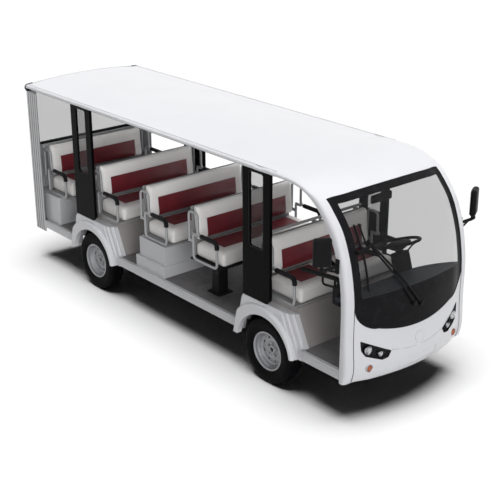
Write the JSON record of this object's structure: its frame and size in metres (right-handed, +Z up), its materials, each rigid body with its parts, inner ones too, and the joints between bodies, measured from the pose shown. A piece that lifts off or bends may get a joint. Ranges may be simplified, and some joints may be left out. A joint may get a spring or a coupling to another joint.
{
  "type": "electric sightseeing vehicle",
  "caption": "Open-sided electric passenger shuttle: rolling body with forward-facing bench rows under one roof, steered front wheels.",
  "frame": {"origin": "on the ground, at the middle of the vehicle's overall length and width", "axes": "+X forward along the vehicle, +Y to its left, +Z up"},
  "size_m": [5.0363, 1.949, 1.9914],
  "materials": {
    "white_body": "glossy",
    "light_grey_body": "satin",
    "black_band": "glossy",
    "tinted_glass": "glossy",
    "lamp_lens": "glossy",
    "amber_lens": "glossy",
    "black_rubber": "matte",
    "red_lens": "glossy",
    "dark_grey_floor": "matte",
    "black_steel": "satin",
    "black_plastic": "satin",
    "taupe_panel": "satin",
    "black_gloss": "glossy",
    "grey_board": "satin",
    "black_foam": "matte",
    "dash_plastic": "satin",
    "upholstery": "soft satin",
    "grey_tube": "satin",
    "tyre_rubber": "matte",
    "wheel_steel": "satin"
  },
  "bodies": {
    "body": {"roof_shell": "white_body", "front_pillars": "white_body", "front_cowl": "white_body", "windscreen_band": "black_band", "windscreen_glass": "tinted_glass", "headlamps": "lamp_lens", "indicator_lamps": "amber_lens", "rear_corner_pillars": "light_grey_body", "rear_panel": "light_grey_body", "tail_trims": "black_rubber", "tail_lamps": "red_lens", "window_panes": "tinted_glass", "floor_deck": "dark_grey_floor", "side_sills": "light_grey_body", "chassis_frame": "black_steel", "leaf_springs": "black_steel", "battery_box": "black_steel", "fenders": "white_body", "wheel_housings": "black_plastic", "wheel_seat_bases": "taupe_panel", "seat_boxes": "light_grey_body", "seat_pans": "grey_board", "bench_stand": "black_steel", "seat_side_loops": "grey_tube", "armrest_pads": "black_foam", "seat_cushions": "upholstery", "backrests": "upholstery", "side_panels": "black_gloss", "dashboard": "dash_plastic", "steering_column": "black_plastic", "hand_lever": "black_plastic", "door_mirrors": "black_plastic", "interior_mirror": "black_plastic", "wiper": "black_plastic", "front_axle_beam": "black_steel", "rear_axle": "black_steel"},
    "steering_wheel": {"steering_wheel": "black_plastic"},
    "knuckle_left": {"knuckle_left": "black_steel"},
    "wheel_front_left": {"tyre_front_left": "tyre_rubber", "rim_front_left": "wheel_steel"},
    "wheel_rear_left": {"tyre_rear_left": "tyre_rubber", "rim_rear_left": "wheel_steel"},
    "knuckle_right": {"knuckle_right": "black_steel"},
    "wheel_front_right": {"tyre_front_right": "tyre_rubber", "rim_front_right": "wheel_steel"},
    "wheel_rear_right": {"tyre_rear_right": "tyre_rubber", "rim_rear_right": "wheel_steel"}
  },
  "joints": [
    {"name": "steer_left", "type": "hinge", "parent": "body", "child": "knuckle_left", "pos_m": [1.415, 0.55, 0.304], "axis": [0, 0, 1], "range_deg": [-25, 25]},
    {"name": "steer_right", "type": "hinge", "parent": "body", "child": "knuckle_right", "pos_m": [1.415, -0.55, 0.304], "axis": [0, 0, 1], "range_deg": [-25, 25]},
    {"name": "steering_wheel_turn", "type": "hinge", "parent": "body", "child": "steering_wheel", "pos_m": [1.975, 0.265, 1.232], "axis": [-0.309, 0, 0.9511], "range_deg": [-451, 451]},
    {"name": "wheel_front_left_spin", "type": "hinge", "parent": "knuckle_left", "child": "wheel_front_left", "pos_m": [1.415, 0.6515, 0.304], "axis": [0, 1, 0], "continuous": true},
    {"name": "wheel_rear_left_spin", "type": "hinge", "parent": "body", "child": "wheel_rear_left", "pos_m": [-1.289, 0.6515, 0.304], "axis": [0, 1, 0], "continuous": true},
    {"name": "wheel_front_right_spin", "type": "hinge", "parent": "knuckle_right", "child": "wheel_front_right", "pos_m": [1.415, -0.6515, 0.304], "axis": [0, 1, 0], "continuous": true},
    {"name": "wheel_rear_right_spin", "type": "hinge", "parent": "body", "child": "wheel_rear_right", "pos_m": [-1.289, -0.6515, 0.304], "axis": [0, 1, 0], "continuous": true}
  ],
  "couplings": [
    {"joint": "steer_right", "follows": "steer_left", "ratio": 1},
    {"joint": "steering_wheel_turn", "follows": "steer_left", "ratio": 18}
  ]
}
